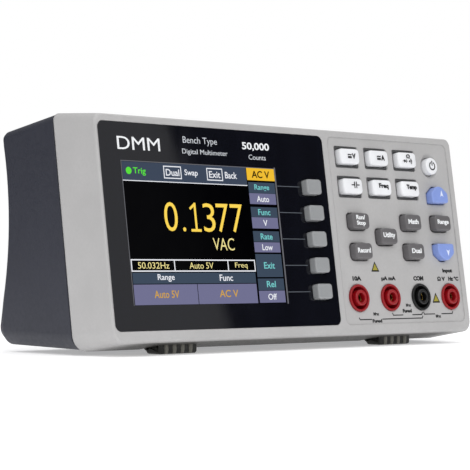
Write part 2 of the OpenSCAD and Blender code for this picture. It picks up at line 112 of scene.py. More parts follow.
class Recipe:
    """Node tree of one finish, with the few nodes that every finish is put together from."""

    def __init__(self, name):
        self.material = bpy.data.materials.new(name)
        self.material.use_nodes = True
        self.tree = self.material.node_tree
        self.surface = next(n for n in self.tree.nodes if n.type == "BSDF_PRINCIPLED")
        self.place = self.tree.nodes.new("ShaderNodeTexCoord").outputs["Object"]

    def node(self, kind, **settings):
        made = self.tree.nodes.new(kind)
        for key, value in settings.items():
            setattr(made, key, value)
        return made

    def link(self, source, target):
        self.tree.links.new(source, target)

    def noise(self, size_mm, detail=2.0, stretch=None):
        """Cloudy pattern whose patches are about size_mm across."""
        made = self.node("ShaderNodeTexNoise")
        made.inputs["Scale"].default_value = 1 / (size_mm * MM)
        made.inputs["Detail"].default_value = detail
        source = self.place
        if stretch:
            mapping = self.node("ShaderNodeMapping")
            mapping.inputs["Scale"].default_value = stretch
            self.link(source, mapping.inputs["Vector"])
            source = mapping.outputs["Vector"]
        self.link(source, made.inputs["Vector"])
        return made.outputs["Fac"]

    def spread(self, source, low, high, to_low=0.0, to_high=1.0):
        made = self.node("ShaderNodeMapRange", clamp=True)
        for socket, value in zip(("From Min", "From Max", "To Min", "To Max"), (low, high, to_low, to_high)):
            made.inputs[socket].default_value = value
        self.link(source, made.inputs["Value"])
        return made.outputs["Result"]

    def calculate(self, operation, first, second):
        made = self.node("ShaderNodeMath", operation=operation)
        for socket, value in zip(made.inputs, (first, second)):
            if isinstance(value, (int, float)):
                socket.default_value = value
            else:
                self.link(value, socket)
        return made.outputs["Value"]

    def blend(self, factor, first, second):
        made = self.node("ShaderNodeMix", data_type="RGBA")
        self.link(factor, made.inputs["Factor"])
        for socket, value in zip((made.inputs[6], made.inputs[7]), (first, second)):
            if isinstance(value, tuple):
                socket.default_value = value
            else:
                self.link(value, socket)
        return made.outputs[2]

    def soft_edges(self, radius_mm):
        """Normal that runs smoothly round every edge, and a mask that is 1 on the edges."""
        rounded = self.node("ShaderNodeBevel", samples=6)
        rounded.inputs["Radius"].default_value = radius_mm * MM
        flat = self.node("ShaderNodeNewGeometry")
        dot = self.node("ShaderNodeVectorMath", operation="DOT_PRODUCT")
        self.link(rounded.outputs["Normal"], dot.inputs[0])
        self.link(flat.outputs["Normal"], dot.inputs[1])
        return rounded.outputs["Normal"], self.spread(dot.outputs["Value"], 0.8, 0.99, 1, 0)

    def relief(self, height, strength, depth_mm, normal=None):
        made = self.node("ShaderNodeBump")
        made.inputs["Strength"].default_value = strength
        made.inputs["Distance"].default_value = depth_mm * MM
        self.link(height, made.inputs["Height"])
        if normal:
            self.link(normal, made.inputs["Normal"])
        self.link(made.outputs["Normal"], self.surface.inputs["Normal"])

    def roughness(self, source, low, high):
        self.link(self.spread(source, 0.3, 0.7, low, high), self.surface.inputs["Roughness"])


def moulded_plastic(name, colour, rough=0.45, grain_mm=0.35, grain_depth=0.02, edge_wear_and_highlight=0.25, edge_mm=0.4, gloss=0.5,
                    extra=None):
    """Injection-moulded plastic: fine spark texture, slight clouding, and paler edges that are partly rubbed wear and
    partly painted highlight.
    """
    recipe = Recipe(name)
    normal, edges = recipe.soft_edges(edge_mm)
    clouds = recipe.noise(18, 3)
    specks = recipe.noise(grain_mm * 3, 2)
    body = recipe.blend(recipe.spread(clouds, 0.3, 0.7), scaled(colour, 0.95), scaled(colour, 1.05))
    body = recipe.blend(recipe.spread(specks, 0.35, 0.75, 0, 0.5), body, scaled(colour, 0.93))
    # Paler edges: partly rubbed wear, partly a painted highlight where the rims catch the light
    rubbed_and_highlit_edges = recipe.calculate("MULTIPLY", edges, recipe.spread(recipe.noise(2.5, 4), 0.42, 0.62, 0.2 * edge_wear_and_highlight, edge_wear_and_highlight))
    body = recipe.blend(rubbed_and_highlit_edges, body, scaled(colour, 1.5))
    if extra:
        body = extra(recipe, body)
    recipe.link(body, recipe.surface.inputs["Base Color"])
    recipe.roughness(specks, rough - 0.06, rough + 0.08)
    recipe.surface.inputs["Specular IOR Level"].default_value = gloss
    recipe.relief(recipe.noise(grain_mm, 1), 0.5, grain_depth, normal)
    return recipe.material


def polished_panel(name, colour, rough=0.05):
    """Polished black window: faint wiping marks and dust, hardly any relief."""
    recipe = Recipe(name)
    wiping = recipe.noise(9, 4, (1, 1, 0.35))
    dust = recipe.noise(0.5, 2)
    body = recipe.blend(recipe.spread(wiping, 0.35, 0.7), colour, scaled(colour, 1.35))
    body = recipe.blend(recipe.spread(dust, 0.72, 0.8, 0, 0.05), body, shade(120, 124, 132))
    recipe.link(body, recipe.surface.inputs["Base Color"])
    recipe.roughness(wiping, rough, rough + 0.06)
    recipe.relief(recipe.noise(30, 1), 0.15, 0.02)
    return recipe.material


def turned_metal(name, colour, rough=0.3, brush=(1, 0.08, 1), stain=0.8):
    """Plated or brushed metal: fine drawn lines, some tarnish, bright edges."""
    recipe = Recipe(name)
    normal, edges = recipe.soft_edges(0.15)
    lines = recipe.noise(0.25, 3, brush)
    tarnish = recipe.noise(3, 4)
    body = recipe.blend(recipe.spread(tarnish, 0.35, 0.7), colour, scaled(colour, stain))
    body = recipe.blend(edges, body, scaled(colour, 1.25))
    recipe.link(body, recipe.surface.inputs["Base Color"])
    recipe.surface.inputs["Metallic"].default_value = 1.0
    recipe.roughness(lines, rough - 0.08, rough + 0.12)
    recipe.relief(lines, 0.3, 0.01, normal)
    return recipe.material


def circuit_board(name):
    """Green solder resist over copper tracks, with the bare board showing at the edges."""
    recipe = Recipe(name)
    tracks = recipe.node("ShaderNodeTexBrick")
    tracks.offset = 0.37
    tracks.inputs["Scale"].default_value = 1.0
    tracks.inputs["Mortar Size"].default_value = 0.0005
    tracks.inputs["Brick Width"].default_value = 0.011
    tracks.inputs["Row Height"].default_value = 0.0023
    tracks.inputs["Color1"].default_value = shade(18, 84, 52)
    tracks.inputs["Color2"].default_value = shade(14, 70, 44)
    tracks.inputs["Mortar"].default_value = shade(42, 122, 78)
    turned = recipe.node("ShaderNodeMapping")
    turned.inputs["Rotation"].default_value = (math.pi / 2, 0, 0)
    recipe.link(recipe.place, turned.inputs["Vector"])
    recipe.link(turned.outputs["Vector"], tracks.inputs["Vector"])
    normal, edges = recipe.soft_edges(0.2)
    body = recipe.blend(edges, tracks.outputs["Color"], shade(150, 140, 95))
    recipe.link(body, recipe.surface.inputs["Base Color"])
    recipe.roughness(recipe.noise(4, 3), 0.28, 0.42)
    recipe.relief(tracks.outputs["Fac"], 0.4, 0.03, normal)
    return recipe.material


def rubber(name, colour):
    """Soft dark rubber: matt, dusty on its edges, fine pores."""
    recipe = Recipe(name)
    normal, edges = recipe.soft_edges(0.4)
    pores = recipe.noise(0.2, 2)
    body = recipe.blend(recipe.spread(recipe.noise(5, 3), 0.3, 0.7), colour, scaled(colour, 1.25))
    body = recipe.blend(recipe.calculate("MULTIPLY", edges, 0.4), body, scaled(colour, 2))
    recipe.link(body, recipe.surface.inputs["Base Color"])
    recipe.roughness(pores, 0.72, 0.9)
    recipe.relief(pores, 0.5, 0.03, normal)
    return recipe.material


def screen_ink(name, colour, rough=0.5):
    """Printed ink: slightly uneven cover and a dry, fine surface."""
    recipe = Recipe(name)
    cover = recipe.noise(0.6, 3)
    body = recipe.blend(recipe.spread(cover, 0.35, 0.75), colour, scaled(colour, 0.86))
    recipe.link(body, recipe.surface.inputs["Base Color"])
    recipe.roughness(cover, rough - 0.08, rough + 0.1)
    recipe.relief(cover, 0.3, 0.005)
    return recipe.material


def lit_display(name, colour, glow=0.75):
    """Part of the lit picture: rows and columns of dots behind the polished window."""
    recipe = Recipe(name)
    rows = recipe.node("ShaderNodeTexWave", wave_type="BANDS", bands_direction="Z")
    columns = recipe.node("ShaderNodeTexWave", wave_type="BANDS", bands_direction="X")
    for dots in (rows, columns):
        dots.inputs["Scale"].default_value = 1300
        recipe.link(recipe.place, dots.inputs["Vector"])
    gaps = recipe.calculate("MULTIPLY", rows.outputs["Fac"], columns.outputs["Fac"])
    lit = recipe.blend(recipe.spread(gaps, 0.1, 0.6), scaled(colour, 0.9), colour)
    lit = recipe.blend(recipe.spread(recipe.noise(6, 2), 0.3, 0.7, 0, 0.6), lit, scaled(colour, 0.92))
    recipe.link(lit, recipe.surface.inputs["Emission Color"])
    recipe.surface.inputs["Emission Strength"].default_value = glow
    recipe.link(recipe.blend(gaps, scaled(colour, 0.12), scaled(colour, 0.2)), recipe.surface.inputs["Base Color"])
    recipe.surface.inputs["Specular IOR Level"].default_value = 0.04
    recipe.roughness(recipe.noise(9, 4), 0.1, 0.2)
    recipe.relief(recipe.noise(30, 1), 0.15, 0.02)
    return recipe.material


def shaded_underside(recipe, body):
    """Painted shade on the underside of the bezel: dark between its two ends, fading to grey at them, standing for the
    shadow under the meter.
    """
    facing = recipe.node("ShaderNodeSeparateXYZ")
    recipe.link(recipe.node("ShaderNodeNewGeometry").outputs["Normal"], facing.inputs["Vector"])
    spot = recipe.node("ShaderNodeSeparateXYZ")
    recipe.link(recipe.place, spot.inputs["Vector"])
    downwards = recipe.spread(facing.outputs["Z"], -0.85, -0.3, 1, 0)
    along = recipe.spread(recipe.calculate("ABSOLUTE", spot.outputs["X"], 0), 0.082, 0.0985, 1, 0)
    low = recipe.spread(spot.outputs["Z"], 0.0046, 0.0056, 1, 0)
    cover = recipe.calculate("MULTIPLY", recipe.calculate("MULTIPLY", downwards, along), low)
    # Painted shade: the downward-facing bezel surface is darkened where the shadow under the meter falls
    return recipe.blend(cover, body, shade(62, 60, 57))


FINISHES = {
    # The bezel grey carries painted shade on its underside
    "bezel_grey": moulded_plastic("bezel_grey", shade(178, 177, 177), 0.42, 0.4, 0.018, 0.3, 0.9,
                                  extra=shaded_underside),
    "case_charcoal": moulded_plastic("case_charcoal", shade(47, 49, 60), 0.5, 0.5, 0.05, 0.3, 1.0),
    "window_black": polished_panel("window_black", shade(6, 7, 15)),
    "display_glass": polished_panel("display_glass", shade(24, 27, 38)),
    "housing_white": moulded_plastic("housing_white", shade(224, 223, 218), 0.5, 0.3, 0.02),
    "rubber_dark": rubber("rubber_dark", shade(72, 72, 74)),
    "board_green": circuit_board("board_green"),
    "part_black": moulded_plastic("part_black", shade(38, 38, 41), 0.5, 0.25, 0.03, 0.2, 0.25),
    "resistance_alloy": turned_metal("resistance_alloy", shade(196, 158, 118)),
    "tinned_steel": turned_metal("tinned_steel", shade(205, 206, 210)),
    "flex_film": moulded_plastic("flex_film", shade(206, 168, 92), 0.3, 0.6, 0.01, 0.1, 0.2),
    "jack_red": moulded_plastic("jack_red", shade(146, 0, 14), 0.42, 0.3, 0.008, 0.12, 0.12),
    "jack_black": moulded_plastic("jack_black", shade(12, 12, 14), 0.42, 0.3, 0.008, 0.2, 0.12),
    "contact_brass": turned_metal("contact_brass", shade(214, 178, 96), 0.22),
    "cap_black": moulded_plastic("cap_black", shade(32, 32, 34), 0.35, 0.3, 0.012, 0.4, 0.35),
    "fuse_glass": moulded_plastic("fuse_glass", shade(226, 222, 210), 0.3, 0.4, 0.01, 0.1, 0.3),
    "screw_dark": turned_metal("screw_dark", shade(92, 92, 96), 0.36, stain=0.6),
    "leg_black": moulded_plastic("leg_black", shade(28, 28, 25), 0.45, 0.35, 0.02, 0.4, 0.2),
    # Soft keys: their strong paler rims are mostly painted highlight
    "key_grey": moulded_plastic("key_grey", shade(146, 148, 150), 0.36, 0.3, 0.015, 0.9, 0.3),
    "key_white": moulded_plastic("key_white", shade(234, 235, 238), 0.32, 0.3, 0.01, 0.1, 0.15),
    "key_blue": moulded_plastic("key_blue", shade(130, 152, 216), 0.34, 0.3, 0.012, 0.25, 0.15),
    "key_dark": moulded_plastic("key_dark", shade(98, 96, 98), 0.42, 0.3, 0.02, 0.5, 0.3),
}

# The ribs are the same black plastic as the leg; this paler grey is a painted highlight on their crests
RIB_HIGHLIGHT_GREY = moulded_plastic("leg_rib_painted_highlight", shade(118, 116, 108), 0.4, 0.35, 0.02, 0.4, 0.2)
BLACK_INK = screen_ink("black_ink", shade(14, 14, 18))
WHITE_INK = screen_ink("white_ink", shade(238, 240, 242))
PALE_INK = screen_ink("pale_ink", shade(206, 210, 216))
GREY_INK = screen_ink("grey_ink", shade(78, 84, 92))
YELLOW_INK = screen_ink("yellow_ink", shade(158, 148, 52))
BLUE_INK = screen_ink("blue_ink", shade(222, 230, 250))

slots = {part["node"]: part["material_slot"] for part in record["subparts"]}
for node_name, solid in frame["nodes"].items():
    for slot in solid.material_slots:
        slot.material = FINISHES[slots[node_name]]
    if not solid.material_slots:
        solid.data.materials.append(FINISHES[slots[node_name]])


# ---------------------------------------------------------------- shapes

def gathered(pieces):
    """One mesh from several, each a bmesh of its own."""
    whole = bmesh.new()
    for piece in pieces:
        carrier = bpy.data.meshes.new("carrier")
        piece.to_mesh(carrier)
        piece.free()
        whole.from_mesh(carrier)
        bpy.data.meshes.remove(carrier)
    return whole


def settle(pieces, name, body, finish, place=FACE, stands_for=(), sharp=38):
    """Makes the finished object: pieces joined, put in place, shaded, and riding on its body."""
    whole = gathered(pieces)
    bmesh.ops.transform(whole, matrix=place, verts=whole.verts)
    if place.determinant() < 0:
        bmesh.ops.reverse_faces(whole, faces=whole.faces)
    mesh = bpy.data.meshes.new(name)
    whole.to_mesh(mesh)
    whole.free()
    mesh.shade_smooth()
    mesh.set_sharp_from_angle(angle=math.radians(sharp))
    mesh.materials.append(finish)
    thing = bpy.data.objects.new(name, mesh)
    bpy.context.scene.collection.objects.link(thing)
    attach(thing, body)
    if stands_for:
        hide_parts(*stands_for)
    return thing


def tidied(bm):
    bmesh.ops.remove_doubles(bm, verts=bm.verts, dist=0.0005)
    bmesh.ops.dissolve_degenerate(bm, dist=0.0003, edges=bm.edges)
    bmesh.ops.recalc_face_normals(bm, faces=bm.faces)
    return bm


def raised(bm, face, height):
    """Draws a flat outline out to a closed block and returns its upper face."""
    drawn = bmesh.ops.extrude_face_region(bm, geom=[face])["geom"]
    corners = [part for part in drawn if isinstance(part, bmesh.types.BMVert)]
    bmesh.ops.translate(bm, vec=(0, 0, height), verts=corners)
    bmesh.ops.recalc_face_normals(bm, faces=bm.faces)
    return top_of(bm)


def top_of(bm):
    return max(bm.faces, key=lambda face: (round(face.calc_center_median().z, 3), face.calc_area()))


def drawn_in(bm, face, border, lift):
    """Draws the upper face in by border on every side and up by lift, and returns the new upper face."""
    made = bmesh.ops.extrude_face_region(bm, geom=[face])["geom"]
    rim = [part for part in made if isinstance(part, bmesh.types.BMVert)]
    if face.is_valid:
        bmesh.ops.delete(bm, geom=[face], context="FACES_ONLY")
    face = next(part for part in bm.faces if len(part.verts) == len(rim) and all(v in rim for v in part.verts))
    low = Vector([min(v.co[i] for v in rim) for i in range(3)])
    high = Vector([max(v.co[i] for v in rim) for i in range(3)])
    size = high - low
    bmesh.ops.scale(bm, vec=(1 - 2 * border / size.x, 1 - 2 * border / size.y, 1), verts=rim,
                    space=Matrix.Translation(-(low + high) / 2))
    bmesh.ops.translate(bm, vec=(0, 0, lift), verts=rim)
    return face


def rounded_outline(bm, wide, tall, radius, steps):
    bmesh.ops.create_grid(bm, x_segments=1, y_segments=1, size=0.5)
    bmesh.ops.scale(bm, vec=(wide, tall, 1), verts=bm.verts)
    if radius:
        bmesh.ops.bevel(bm, geom=list(bm.verts), offset=radius, affect="VERTICES", segments=steps, profile=0.5,
                        material=-1)
    return top_of(bm)


def block(across, up, wide, tall, back, front, radius=0.0, steps=5, edge=0.0, edge_steps=3, crown=(), taper=None):
    """Rounded block from depth back to front, with softened front edges and a crowned top."""
    bm = bmesh.new()
    face = rounded_outline(bm, wide, tall, radius, steps)
    face = raised(bm, face, front - back)
    if taper:
        bmesh.ops.scale(bm, vec=(taper, taper, 1), verts=list(face.verts))
    return shaped(bm, face, across, up, back, edge, edge_steps, crown)


def shaped(bm, face, across, up, back, edge, edge_steps, crown):
    if edge:
        bmesh.ops.bevel(bm, geom=list(face.edges), offset=edge, affect="EDGES", segments=edge_steps, profile=0.5,
                        material=-1)
        face = top_of(bm)
    for border, lift in crown:
        face = drawn_in(bm, face, border, lift)
    bmesh.ops.translate(bm, vec=(across, up, back), verts=bm.verts)
    return tidied(bm)


def outline_block(points, across, up, back, front, radius=0.0, edge=0.0, edge_steps=3, crown=()):
    """Block on a polygon of a few corners."""
    bm = bmesh.new()
    face = bm.faces.new([bm.verts.new((x, y, 0)) for x, y in points])
    if radius:
        bmesh.ops.bevel(bm, geom=list(bm.verts), offset=radius, affect="VERTICES", segments=4, profile=0.5,
                        material=-1)
        face = top_of(bm)
    face = raised(bm, face, front - back)
    return shaped(bm, face, across, up, back, edge, edge_steps, crown)


def turned(profile, across=0, up=0, steps=56, closed=False):
    """Round piece about its own axis from (radius, height) corners."""
    bm = bmesh.new()
    corners = [bm.verts.new((radius, 0, height)) for radius, height in profile]
    edges = [bm.edges.new(pair) for pair in zip(corners, corners[1:])]
    if closed:
        edges.append(bm.edges.new((corners[-1], corners[0])))
    bmesh.ops.spin(bm, geom=corners + edges, cent=(0, 0, 0), axis=(0, 0, 1), angle=TURN, steps=steps,
                   use_merge=True)
    bmesh.ops.translate(bm, vec=(across, up, 0), verts=bm.verts)
    return tidied(bm)


def arc(radius, width, start, sweep, back, front, across=0, up=0, steps=24):
    """Flat part-ring, as in the power sign."""
    bm = bmesh.new()
    inner, outer = radius - width / 2, radius + width / 2
    corners = [bm.verts.new((inner, 0, back)), bm.verts.new((outer, 0, back)),
               bm.verts.new((outer, 0, front)), bm.verts.new((inner, 0, front))]
    face = bm.faces.new(corners)
    bmesh.ops.rotate(bm, cent=(0, 0, 0), matrix=Matrix.Rotation(start, 3, "Z"), verts=corners)
    bmesh.ops.spin(bm, geom=[face], cent=(0, 0, 0), axis=(0, 0, 1), angle=sweep, steps=steps, use_merge=False)
    bmesh.ops.translate(bm, vec=(across, up, 0), verts=bm.verts)
    return tidied(bm)


def strip(x0, y0, x1, y1, width, back, front):
    """Thin straight line from one point to another."""
    long = math.hypot(x1 - x0, y1 - y0)
    bm = block(0, 0, long + width, width, back, front)
    bmesh.ops.rotate(bm, cent=(0, 0, 0), matrix=Matrix.Rotation(math.atan2(y1 - y0, x1 - x0), 3, "Z"),
                     verts=bm.verts)
    bmesh.ops.translate(bm, vec=((x0 + x1) / 2, (y0 + y1) / 2, 0), verts=bm.verts)
    return bm


def area(left, bottom, right, top, back, front):
    return block((left + right) / 2, (bottom + top) / 2, right - left, top - bottom, back, front)


def box_line(left, bottom, right, top, width, back, front):
    """Rectangle drawn as four thin lines."""
    return [strip(left, bottom, right, bottom, width, back, front), strip(left, top, right, top, width, back, front),
            strip(left, bottom, left, top, width, back, front), strip(right, bottom, right, top, width, back, front)]


def lettering(text, left, bottom, right, top, back, front, bold=0.0):
    """Plain letters that fill a rectangle."""
    curve = bpy.data.curves.new("lettering", "FONT")
    curve.body = text
    curve.resolution_u = 4
    curve.offset = bold
    curve.extrude = 0.5
    writer = bpy.data.objects.new("lettering", curve)
    bpy.context.scene.collection.objects.link(writer)
    bpy.context.view_layer.update()
    seen = writer.evaluated_get(bpy.context.evaluated_depsgraph_get())
    mesh = bpy.data.meshes.new_from_object(seen)
    bpy.data.objects.remove(writer)
    bpy.data.curves.remove(curve)
    bm = bmesh.new()
    bm.from_mesh(mesh)
    bpy.data.meshes.remove(mesh)
    low = Vector([min(v.co[i] for v in bm.verts) for i in range(3)])
    high = Vector([max(v.co[i] for v in bm.verts) for i in range(3)])
    bmesh.ops.translate(bm, vec=-low, verts=bm.verts)
    bmesh.ops.scale(bm, verts=bm.verts, vec=((right - left) / (high.x - low.x), (top - bottom) / (high.y - low.y),
                                             (front - back) / (high.z - low.z)))
    bmesh.ops.translate(bm, vec=(left, bottom, back), verts=bm.verts)
    bmesh.ops.remove_doubles(bm, verts=bm.verts, dist=0.0004)
    bmesh.ops.recalc_face_normals(bm, faces=bm.faces)
    return bm


def centred(text, across, up, wide, tall, back, front, bold=0.0):
    return lettering(text, across - wide / 2, up - tall / 2, across + wide / 2, up + tall / 2, back, front, bold)


# ---------------------------------------------------------------- keys

def build_white_keys():
    for name, (across, up) in WHITE_KEYS.items():
        cap = block(across, up, 11.4, 6.5, KEY_BACK, 1.95, 1.7, 7, 0.95, 6,
                    ((0.35, 0.1), (0.45, 0.1), (0.5, 0.07), (0.5, 0.04)))
        flange = block(across, up, 15.4, 10.4, FLANGE_BACK, KEY_BACK, 1.0)
        settle([cap, flange], f"{name}_cap", name, FINISHES["key_white"], stands_for=(name,),
               sharp=60)


def build_dark_keys():
    for name, (across, up) in DARK_KEYS.items():
        cap = block(across, up, 10.4, 6.8, KEY_BACK, 2.8, 1.7, 7, 0.7, 5, ((0.4, 0.05), (0.6, 0.04), (0.6, 0.02)),
                    taper=0.965)
        flange = block(across, up, 12.8, 9.0, FLANGE_BACK, KEY_BACK, 1.0)
        settle([cap, flange], f"{name}_cap", name, FINISHES["key_dark"], stands_for=(name,),
               sharp=60)


def build_blue_keys():
    for name, (across, up, way) in BLUE_KEYS.items():
        outline = [(-5.2, -3.6 * way), (5.2, -3.6 * way), (5.2, 0.8 * way), (1.4, 3.6 * way), (-1.4, 3.6 * way),
                   (-5.2, 0.8 * way)]
        cap = outline_block(outline, across, up, KEY_BACK, 2.8, 1.0, 0.6, 5,
                            ((0.4, 0.05), (0.5, 0.04), (0.5, 0.02)))
        flange = block(across, up, 12.8, 9.0, FLANGE_BACK, KEY_BACK, 1.0)
        settle([cap, flange], f"{name}_cap", name, FINISHES["key_blue"], stands_for=(name,),
               sharp=60)
        arrow = outline_block([(0, 1.5 * way), (-1.05, -1.35 * way), (0, -0.75 * way), (1.05, -1.35 * way)],
                              across + 0.9, up + 0.4 * way, 2.88, 2.96)
        settle([arrow], f"{name}_sign", name, BLUE_INK)


def build_side_keys():
    for name, (across, up) in SIDE_KEYS.items():
        cap = block(across, up, 8.2, 6.2, KEY_BACK, 2.9, 1.3, 7, 0.7, 5, ((0.25, -0.03), (0.3, -0.05), (0.3, -0.02)))
        flange = block(across, up, 10.6, 8.6, FLANGE_BACK, KEY_BACK, 1.0)
        settle([cap, flange], f"{name}_cap", name, FINISHES["key_grey"], stands_for=(name,),
               sharp=60)


def build_power_button():
    across, up = POWER
    button = turned([(0, FLANGE_BACK), (5.1, FLANGE_BACK), (5.1, KEY_BACK), (3.7, KEY_BACK), (3.7, 0.8),
                     (3.6, 1.1), (3.35, 1.28), (3.0, 1.36), (1.5, 1.44), (0, 1.46)], across, up)
    settle([button], "power_button_cap", "power_button", FINISHES["key_white"], stands_for=("power_button",),
           sharp=50)
    sign = [arc(1.65, 0.55, math.radians(115), math.radians(310), 1.38, 1.49, across, up),
            strip(across, up + 0.4, across, up + 2.0, 0.55, 1.38, 1.49)]
    settle(sign, "power_sign", "power_button", BLACK_INK)


def build_key_legends():
    low, high = 2.3, 2.4
    # How far the signs stand left of where they are measured from
    letters_left, ohms_left = 1.9, 1.6

    def printed(key, signs, ink=BLACK_INK):
        settle(signs, f"{key}_legend", key, ink)

    for key, letter in (("key_volts", "V"), ("key_amps", "A")):
        across, up = WHITE_KEYS[key]
        across -= letters_left
        printed(key, [lettering("~", across + 0.1, up + 0.15, across + 2.3, up + 0.95, low, high, KEY_BOLD),
                      lettering("=", across + 0.1, up - 0.95, across + 2.3, up - 0.1, low, high, KEY_BOLD),
                      lettering(letter, across + 2.55, up - 1.1, across + 4.7, up + 1.1, low, high, KEY_BOLD)])
    across, up = WHITE_KEYS["key_ohms"]
    across -= ohms_left
    printed("key_ohms", [
        lettering("Ω", across + 0.6, up + 0.5, across + 2.8, up + 2.3, low, high, 0.03),
        outline_block([(-0.8, 0.7), (0.5, 0), (-0.8, -0.7)], across - 0.3, up - 0.7, low, high),
        strip(across + 0.3, up - 1.4, across + 0.3, up, 0.22, low, high),
        strip(across - 1.9, up - 0.7, across + 1.1, up - 0.7, 0.18, low, high),
        turned([(0, low), (0.42, low), (0.42, high), (0, high)], across + 2.4, up - 0.7, 16),
        arc(0.9, 0.2, math.radians(-55), math.radians(110), low, high, across + 2.4, up - 0.7, 8),
        arc(1.4, 0.2, math.radians(-55), math.radians(110), low, high, across + 2.4, up - 0.7, 8)])
    across, up = WHITE_KEYS["key_capacitance"]
    across, up = across + 0.9, up + 0.4
    printed("key_capacitance", [
        strip(across - 2.1, up, across - 0.55, up, 0.42, low, high),
        strip(across + 0.55, up, across + 2.1, up, 0.42, low, high),
        strip(across - 0.55, up - 1.15, across - 0.55, up + 1.15, 0.42, low, high),
        strip(across + 0.55, up - 1.15, across + 0.55, up + 1.15, 0.42, low, high)])
    across, up = WHITE_KEYS["key_frequency"]
    printed("key_frequency", [lettering("Freq", across - 2.5, up - 0.95, across + 3.2, up + 1.65, low, high, KEY_BOLD)])
    across, up = WHITE_KEYS["key_temperature"]
    printed("key_temperature", [
        lettering("Temp", across - 2.9, up - 0.95, across + 3.4, up + 1.65, low, high, KEY_BOLD)])

    low, high = 2.83, 2.96
    for key, word, wide, tall in (("key_math", "Math", 6.4, 2.1), ("key_range", "Range", 7.2, 2.6),
                                  ("key_utility", "Utility", 7.2, 2.7), ("key_record", "Record", 7.6, 2.1),
                                  ("key_dual", "Dual", 6.0, 2.1)):
        across, up = DARK_KEYS[key]
        printed(key, [centred(word, across - 0.2, up + 0.2, wide, tall, low, high, DARK_KEY_BOLD)], WHITE_INK)
    across, up = DARK_KEYS["key_run_stop"]
    printed("key_run_stop", [centred("Run/", across - 0.3, up + 1.45, 5.2, 1.9, low, high, DARK_KEY_BOLD),
                             centred("Stop", across - 0.3, up - 1.15, 5.2, 2.3, low, high, DARK_KEY_BOLD)], WHITE_INK)


# ---------------------------------------------------------------- jacks, legs, feet

def build_jacks():
    for name, across in JACKS.items():
        colour = "jack_black" if name == "jack_common" else "jack_red"
        sleeve = turned([
            (2.65, -21.0), (6.0, -21.0), (6.0, -4.6), (7.0, -4.6), (7.0, -2.6), (5.65, -2.6), (5.65, 0.2), (5.58, 0.4),
            (5.42, 0.5), (4.98, 0.5), (4.8, 0.4), (4.7, 0.15), (4.66, -15.0), (4.55, -15.8), (4.2, -16.0),
            (3.6, -16.0), (3.35, -15.7), (3.3, -15.0), (3.3, 0.9), (3.22, 1.2), (3.0, 1.36), (2.7, 1.4), (2.3, 1.38),
            (2.08, 1.25), (2.0, 1.0), (2.0, -1.2), (2.65, -1.2)], across, JACK_UP, 64, closed=True)
        settle([sleeve], f"{name}_sleeve", "meter", FINISHES[colour], stands_for=(name,), sharp=50)


def build_tilt_legs():
    for side in ("left", "right"):
        name = f"tilt_leg_{side}"
        low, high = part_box(name)
        low, high = low / MM, high / MM
        middle = (low.x + high.x) / 2
        pivot_y, pivot_z = high.y - 2.5, high.z - 2.5
        half = (high.x - low.x) / 2
        # Cross-section of the leg in its own plane, then drawn out to its width
        section = [(0, 1.2), (-7.4, 1.2), (-7.4, -3.0), (-6.7, -pivot_z), (0, -pivot_z), (1.8, -1.75), (2.2, 0)]
        paddle = outline_block(section, 0, 0, -half, half, 0.3, 1.1, 3)
        far_end = min(paddle.faces, key=lambda face: (round(face.calc_center_median().z, 3), -face.calc_area()))
        bmesh.ops.bevel(paddle, geom=list(far_end.edges), offset=1.1, affect="EDGES", segments=3, profile=0.5,
                        material=-1)
        barrel = turned([(1.28, -half), (2.3, -half), (2.5, -half + 0.2), (2.5, half - 0.2), (2.3, half),
                         (1.28, half)], 0, 0, 32, closed=True)
        swap = Matrix(((0, 0, 1, middle), (1, 0, 0, pivot_y), (0, 1, 0, pivot_z), (0, 0, 0, 1)))
        for shape in (tidied(paddle), barrel):
            bmesh.ops.transform(shape, matrix=swap, verts=shape.verts)
        ribs = []
        for i in range(4):
            rib = turned([(0, 0.0), (0.55, 0.05), (0.95, 0.7), (1.1, 1.8), (1.1, 4.5), (0.9, 4.85), (0, 4.9)],
                         middle - 6 + 4 * i, low.y + 1.1, 20)
            ribs.append(rib)
        settle([paddle, barrel], f"{name}_paddle", name, FINISHES["leg_black"], METER, stands_for=(name,),
               sharp=45)
        # Ribs in the paler grey: painted highlight
        settle(ribs, f"{name}_ribs", name, RIB_HIGHLIGHT_GREY, METER, sharp=45)


def build_rear_feet():
    low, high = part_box("rear_feet")
    low, high = low / MM, high / MM
    feet = []
    for across in (low.x + 5, high.x - 5):
        feet.append(turned([(0, 0.35), (3.1, 0.3), (3.5, 0.0), (4.5, 0.0), (4.85, 0.12), (5.0, 0.5), (5.0, 4.3),
                            (0, 4.3)], across, (low.y + high.y) / 2, 48))
    settle(feet, "rear_feet_pads", "meter", FINISHES["rubber_dark"], METER, stands_for=("rear_feet",),
           sharp=50)


# ---------------------------------------------------------------- lit display and printing

